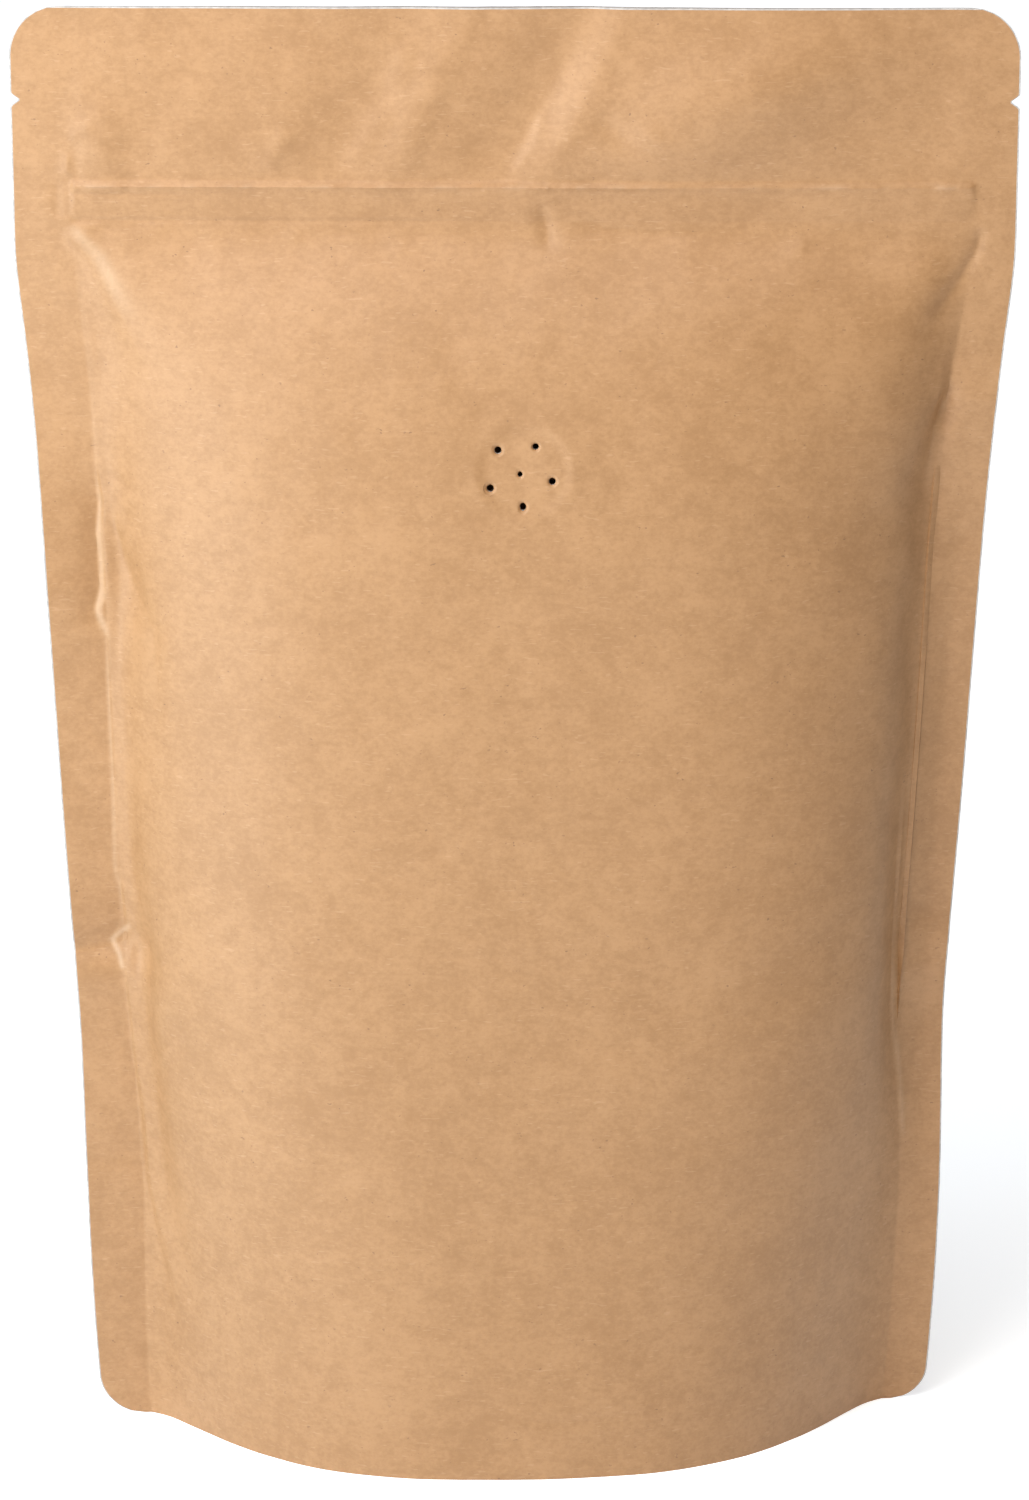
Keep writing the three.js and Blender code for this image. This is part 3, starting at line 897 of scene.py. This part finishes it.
pinHoles = {
    "count": 5,
    "ringRadius": 6.55,
    "firstHole": 60.4,  # degrees
    "holeRadius": 0.68,
    "middleScale": 0.68,
    "unevenness": 0.12,
    "seed": 4,
    "ringShift": (-0.95, -0.5),  # the ring is punched a little off the valve's middle
    "leastStretch": (0.9, 0.9, 1),
    "mostStretch": (1.08, 1.22, 1),
    # how the paper bends in round a hole: (share of its radius, height)
    "funnel": ((1, -6), (1, -0.42), (1.12, -0.3), (1.45, -0.12), (1.9, 0.01), (2.1, 0.5)),
    "sides": 28,
    "searchFrom": 20,  # how far before the panel the way in starts, and how far it looks
    "searchLength": 50,
}


def pinHoleTree(funnel, target):
    tree = bpy.data.node_groups.new("pin holes", "GeometryNodeTree")
    sockets = {}
    for label, kind in (
        ("Holes", "Int"), ("Ring radius", "Float"), ("First hole", "Float"), ("Middle scale", "Float"),
        ("Unevenness", "Float"), ("Seed", "Int"), ("Place", "Vector"), ("Turn", "Vector"),
        ("Way in", "Vector"), ("Material", "Material"),
    ):
        socket = tree.interface.new_socket(label, in_out="INPUT", socket_type="NodeSocket" + kind)
        sockets[label] = socket.identifier
    tree.interface.new_socket("Geometry", in_out="OUTPUT", socket_type="NodeSocketGeometry")
    given = tree.nodes.new("NodeGroupInput").outputs

    def add(kind, output, inputs=None, **settings):
        return addNode(tree, kind, inputs, **settings).outputs[output]

    ring = add("GeometryNodeMeshCircle", "Mesh", {"Vertices": given["Holes"], "Radius": given["Ring radius"]})
    ringTurn = add("ShaderNodeCombineXYZ", "Vector", {"Z": given["First hole"]})
    ring = add("GeometryNodeTransform", "Geometry", {"Geometry": ring, "Rotation": ringTurn})
    ringPoints = add("GeometryNodeMeshToPoints", "Points", {"Mesh": ring})
    both = addNode(tree, "GeometryNodeJoinGeometry")
    feed(both, {"Geometry": ringPoints})
    feed(both, {"Geometry": add("GeometryNodePoints", "Points")})

    # the middle hole is small, and each hole is a little out of true
    position = add("GeometryNodeInputPosition", "Position")
    length = add("ShaderNodeVectorMath", "Value", {0: position}, operation="LENGTH")
    size = add("ShaderNodeMapRange", "Result", {
        "Value": length, "From Max": mm, "To Min": given["Middle scale"], "To Max": 1.0})
    sized = add("GeometryNodeStoreNamedAttribute", "Geometry", {
        "Geometry": both.outputs["Geometry"], "Name": "size", "Value": size}, data_type="FLOAT")
    jitter = add("FunctionNodeRandomValue", "Value", {
        "Min": (-mm, -mm, 0), "Max": (mm, mm, 0), "Seed": given["Seed"]}, data_type="FLOAT_VECTOR")
    shift = add("ShaderNodeVectorMath", "Vector", {
        0: jitter, "Scale": given["Unevenness"]}, operation="SCALE")
    moved = add("GeometryNodeSetPosition", "Geometry", {"Geometry": sized, "Offset": shift})
    placed = add("GeometryNodeTransform", "Geometry", {
        "Geometry": moved, "Translation": given["Place"], "Rotation": given["Turn"]})

    # each hole goes where the way in meets the panel
    wayIn = given["Way in"]
    panel = add("GeometryNodeObjectInfo", "Geometry", {"Object": target})
    back = add("ShaderNodeVectorMath", "Vector", {
        0: wayIn, 1: [-pinHoles["searchFrom"] * mm] * 3, 2: position}, operation="MULTIPLY_ADD")
    hit = add("GeometryNodeRaycast", "Hit Position", {
        "Target Geometry": panel, "Source Position": back, "Ray Direction": wayIn,
        "Ray Length": pinHoles["searchLength"] * mm}, data_type="FLOAT")
    landed = add("GeometryNodeSetPosition", "Geometry", {"Geometry": placed, "Position": hit})

    wayOut = add("ShaderNodeVectorMath", "Vector", {0: wayIn, "Scale": -1.0}, operation="SCALE")
    upright = add("FunctionNodeAlignRotationToVector", "Rotation", {"Vector": wayOut}, axis="Z")
    shape = add("GeometryNodeObjectInfo", "Geometry", {"Object": funnel})
    stored = add("GeometryNodeInputNamedAttribute", "Attribute", {"Name": "size"}, data_type="FLOAT")
    spread = add("FunctionNodeRandomValue", "Value", {
        "Min": pinHoles["leastStretch"], "Max": pinHoles["mostStretch"], "Seed": given["Seed"],
    }, data_type="FLOAT_VECTOR")
    scale = add("ShaderNodeVectorMath", "Vector", {0: spread, "Scale": stored}, operation="SCALE")
    punches = add("GeometryNodeInstanceOnPoints", "Instances", {
        "Points": landed, "Instance": shape, "Rotation": upright, "Scale": scale})
    real = add("GeometryNodeRealizeInstances", "Geometry", {"Geometry": punches})
    painted = add("GeometryNodeSetMaterial", "Geometry", {"Geometry": real, "Material": given["Material"]})
    addNode(tree, "NodeGroupOutput", {"Geometry": painted})
    return tree, sockets


def punchedHoles(target, valveMatrix):
    radius = pinHoles["holeRadius"]
    bends = [(radius * share, height) for share, height in pinHoles["funnel"]]
    funnel = lathed("funnel", [(0, bends[0][1]), *bends, (0, bends[-1][1])], pinHoles["sides"])
    tree, sockets = pinHoleTree(funnel, target)
    punches = meshObject("pinHolePunches", [(0, 0, 0)], [])
    modifier = punches.modifiers.new("holes", "NODES")
    modifier.node_group = tree
    shiftX, shiftY = pinHoles["ringShift"]
    for label, value in {
        "Holes": pinHoles["count"],
        "Ring radius": pinHoles["ringRadius"] * mm,
        "First hole": math.radians(pinHoles["firstHole"]),
        "Middle scale": pinHoles["middleScale"],
        "Unevenness": pinHoles["unevenness"],
        "Seed": pinHoles["seed"],
        "Place": tuple(valveMatrix @ Vector((shiftX * mm, shiftY * mm, 0))),
        "Turn": tuple(valveMatrix.to_euler()),
        "Way in": tuple(-valveMatrix.col[2].to_3d()),
        "Material": kraft,
    }.items():
        modifier[sockets[label]] = value
    bake(punches)
    drop(funnel)
    return punches


# The pouch is one piece: the sheets with the gusset's space, the mouth and the
# valve's cavity cut out of them, and the pin holes punched through its front.
valveMatrix = valveFrame()
punches = punchedHoles(pouchBody, valveMatrix)
print("pin hole punches", len(punches.data.vertices), "points")
radius = valveSize["radius"]
chamfer = valveSize["chamfer"]
ledgeWidth, ledgeDepth = valveSize["ledge"]
cavityTop = -valveSize["skin"]
cavityFloor = cavityTop - valveSize["thickness"] - 2 * valveSize["gap"]
cavityRadius = radius + valveSize["gap"]
cavity = lathed("valveCavity", (
    (0, cavityFloor), (cavityRadius, cavityFloor), (cavityRadius, cavityTop), (0, cavityTop),
), valveSize["sides"], valveMatrix)
gussetCut = gussetSpace()
mouthCut = mouthGroove()
for cutter in (gussetCut, mouthCut, cavity, punches):
    cutAway(pouchBody, cutter)
    print("cut", cutter.name, len(pouchBody.data.polygons), "faces left")

top = cavityTop - valveSize["gap"]
bottom = top - valveSize["thickness"]
ledge = top - ledgeDepth
face = radius - ledgeWidth
valve = lathed("valveBody", (
    (0, bottom), (radius - chamfer, bottom), (radius, bottom + chamfer), (radius, ledge - chamfer),
    (radius - valveSize["rounding"], ledge), (face, ledge), (face - chamfer, top), (0, top),
), valveSize["sides"], valveMatrix)
cutAway(valve, punches)
drop(gussetCut, mouthCut, cavity, punches)

# Paper is paler along a sharp fold, partly from wear and partly as a painted highlight on its crest: lines as
# the creases have, with how much as their height.
foldWearAndHighlight = (
    {"line": ((-88.8, 259.4), (-85.6, 256), (-82.5, 252.4), (-79.3, 244.5), (-75, 235)),
     "height": 0.3, "width": (0.7, 2), "power": 1.6, "fade": (0.1, 0.6)},
    {"line": ((-88.3, 205), (-87.8, 198.5), (-88.8, 192), (-88.5, 186.6), (-88.8, 180), (-90.1, 176.1),
              (-89, 172.4), (-87.1, 169.7)),
     "height": 0.24, "width": (0.5, 0.7), "power": 2, "fade": (0.2, 0.1)},
    {"line": ((-88.4, 170), (-88.9, 160), (-89.2, 143), (-89.8, 130), (-90.3, 121.5), (-89.4, 116),
              (-89.4, 109)),
     "height": 0.1, "width": (0.5, 0.5), "power": 2, "fade": (0.1, 0.1)},
    {"line": ((-87.6, 109.2), (-89.6, 107.4), (-92.1, 105.3), (-90.8, 102.5), (-90.3, 98.8)),
     "height": 0.32, "width": (0.5, 0.5), "power": 2, "fade": (0.1, 0.1)},
    {"line": ((88.5, 108), (89.3, 85.2), (90.6, 77), (91.3, 68), (92, 58)),
     "height": 0.15, "width": (0.5, 0.5), "power": 2, "fade": (0.4, 0.1)},
)
# Painted highlight: the zip's upper edge is paler in patches.
zipEdgeHighlight = {
    "amount": 0.16,
    "above": 0.1,
    "width": 0.4,
    "halfLength": 90,
    "patches": {"seed": 8, "height": 1, "longest": 16, "shortest": 2, "waves": 18},
}
leastWearAndHighlight = 0.02  # paler by less isn't marked


# How pale the paper is: wear and painted highlight along the folds, painted highlight along the zip's upper
# edge.
def wearAndHighlightAmounts(u, v):
    fromEdge = v - zipRelief["upperEdge"] - zipEdgeHighlight["above"]
    edge = bell(fromEdge / zipEdgeHighlight["width"]) * (np.abs(u) < zipEdgeHighlight["halfLength"])
    patches = smooth(softUnevenness(u, v * 0, **zipEdgeHighlight["patches"]))
    return np.clip(creaseRelief(u, v, foldWearAndHighlight) + zipEdgeHighlight["amount"] * edge * patches, 0, 1)


# Stores the pale marks, wear and painted highlight, on the front's vertices for the kraft paper to read.
def markWearAndHighlight(mesh, reach=0.02 * mm):
    amounts = wearAndHighlightAmounts(uTable, vTable)
    rowsOf, columnsOf = np.nonzero(amounts > leastWearAndHighlight)
    tree = KDTree(len(rowsOf))
    for i, (row, column) in enumerate(zip(rowsOf, columnsOf)):
        tree.insert(Vector(frontSheet[row, column] * mm), i)
    tree.balance()
    worn = mesh.attributes.new("worn", "FLOAT", "POINT")
    for i, vertex in enumerate(mesh.vertices):
        _, nearest, distance = tree.find(vertex.co)
        if distance < reach:
            worn.data[i].value = amounts[rowsOf[nearest], columnsOf[nearest]]


def edgeFaces(mesh, sidesFrom=70):  # the faces of the cut edge, along the sides and the top
    centres = np.zeros(len(mesh.polygons) * 3)
    mesh.polygons.foreach_get("center", centres)
    centres = centres.reshape(-1, 3) / mm
    middles = (frontSheet + backSheet) / 2
    rimPoints = np.concatenate([middles[:, 0], middles[:, -1]])
    rimPoints = rimPoints[np.argsort(rimPoints[:, 2], kind="stable")]
    near = np.zeros(len(centres), bool)
    outside = np.abs(centres[:, 0]) > sidesFrom
    for side in (-1, 1):
        rim = rimPoints[rimPoints[:, 0] * side > 0]
        mine = outside & (centres[:, 0] * side > 0)
        low = np.interp(centres[mine, 2], rim[:, 2], np.abs(rim[:, 0]))
        near[mine] |= np.abs(centres[mine, 0]) > low - edgeBand
    topLine = np.interp(centres[:, 0], frontSheet[-1, :, 0], frontSheet[-1, :, 2])
    near |= centres[:, 2] > topLine - edgeBand
    return near


def shadeSmooth(mesh, sharpAngle):
    mesh.polygons.foreach_set("use_smooth", np.ones(len(mesh.polygons), bool))
    mesh.set_sharp_from_angle(angle=math.radians(sharpAngle))
    mesh.update()


def finishPouch(mesh):
    # kraft all over, with the pale cut edge of the laminate along the outline
    mesh.materials.clear()
    mesh.materials.append(kraft)
    mesh.materials.append(cutEdge)
    mesh.polygons.foreach_set("material_index", edgeFaces(mesh).astype(np.int32))
    shadeSmooth(mesh, pouch["sharpAngle"])
    markWearAndHighlight(mesh)


finishPouch(pouchBody.data)
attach(pouchBody, "root")
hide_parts("pouch")

# the near-black plastic is painted shade for what the pin holes let one see
valve.data.materials.append(valvePlasticPaintedShade)
shadeSmooth(valve.data, valveSize["sharpAngle"])
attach(valve, "root")
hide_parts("valve")
print("pieces finished")

studio = {
    "floorSize": 80,  # metres
    "floorColour": (0.92, 0.96, 1.0),
    "floorRoughness": 0.9,
    "floorGlow": 0.55,  # keeps the floor near white
    "farGlow": 0.85,  # and the floor behind the pouch
    "farRange": (0.05, 1.2),
    "rightGlow": 0.3,  # the floor far to the right is dimmer and warmer
    "rightRange": (0.36, 0.7),
    "glowColour": (0.96, 0.99, 1.03),
    "rightColour": (1.0, 0.82, 0.6),
    "world": 0.05,
    "worldColour": (1.22, 1.0, 0.74),
    # how far round and up from the front in degrees, distance and size in metres, watts, colour
    "boxes": (
        (-10, 60, 0.9, 0.6, 3.3, (1.12, 1.0, 0.86)),
        (-35, 30, 0.8, 0.5, 3.1, (1.06, 1.0, 0.98)),
        (-55, 8, 0.5, 0.3, 1.3, (0.8, 1.0, 1.13)),
        (-60, 55, 0.6, 0.35, 1.7, (0.92, 1.0, 1.1)),
    ),
    "backSun": (180, 55, 40, 0.6),  # round, up and how soft in degrees, strength
}


def pointTowards(obj, place, target):
    obj.location = place
    obj.rotation_euler = (Vector(target) - Vector(place)).to_track_quat("-Z", "Y").to_euler()


def fromFront(turn, rise, distance):
    turn = math.radians(turn)
    rise = math.radians(rise)
    return Vector((
        math.sin(turn) * math.cos(rise) * distance,
        -math.cos(turn) * math.cos(rise) * distance,
        math.sin(rise) * distance,
    ))


def makeFloor():
    bpy.ops.mesh.primitive_plane_add(size=studio["floorSize"])
    floor = bpy.context.object
    floor.name = "floor"
    material, tree, shader = newMaterial("pale floor")
    place = addNode(tree, "ShaderNodeSeparateXYZ", {
        "Vector": addNode(tree, "ShaderNodeTexCoord").outputs["Object"]}).outputs
    glow = addRange(tree, place["Y"], *studio["farRange"], studio["floorGlow"], studio["farGlow"])
    right = addRange(tree, place["X"], *studio["rightRange"])
    dim = addRange(tree, right, 0, 1, 1, studio["rightGlow"])
    feed(shader, {
        "Base Color": (*studio["floorColour"], 1),
        "Roughness": studio["floorRoughness"],
        "Specular IOR Level": 0,
        "Emission Strength": addMath(tree, "MULTIPLY", glow, dim),
        "Emission Color": addMix(tree, right, (*studio["glowColour"], 1), (*studio["rightColour"], 1)),
    })
    floor.data.materials.append(material)


def makeLight(name, kind, place, aim):
    light = bpy.data.lights.new(name, kind)
    pointTowards(addObject(name, light), place, aim)
    return light


def makeStudio():
    makeFloor()
    world = bpy.data.worlds.new("studio")
    bpy.context.scene.world = world
    world.use_nodes = True
    background = world.node_tree.nodes["Background"]
    background.inputs["Color"].default_value = (*studio["worldColour"], 1)
    background.inputs["Strength"].default_value = studio["world"]
    middle = Vector((0, 0, 0.15))
    for turn, rise, distance, size, power, colour in studio["boxes"]:
        box = makeLight("softbox", "AREA", middle + fromFront(turn, rise, distance), middle)
        box.size = size
        box.energy = power
        box.color = colour
    turn, rise, softness, strength = studio["backSun"]
    sun = makeLight("back sun", "SUN", middle + fromFront(turn, rise, 2), middle)
    sun.angle = math.radians(softness)
    sun.energy = strength


view = {
    "turn": -2.64,  # degrees round from the front, and up
    "rise": 17,
    "distance": 1.2,  # metres
    "aimHeight": 0.1451,
    "lens": 140.7,  # millimetres
    "sensorWidth": 36,
}


def makeCamera():
    camera = bpy.data.cameras.new("camera")
    camera.lens = view["lens"]
    camera.sensor_width = view["sensorWidth"]
    cameraObject = addObject("camera", camera)
    aim = Vector((0, 0, view["aimHeight"]))
    place = aim + fromFront(view["turn"], view["rise"], view["distance"])
    pointTowards(cameraObject, place, aim)
    bpy.context.scene.camera = cameraObject


makeStudio()
makeCamera()
bpy.context.scene.view_settings.view_transform = "Standard"
bpy.context.scene.view_settings.look = "None"
print("studio and camera ready")

bpy.context.view_layer.update()
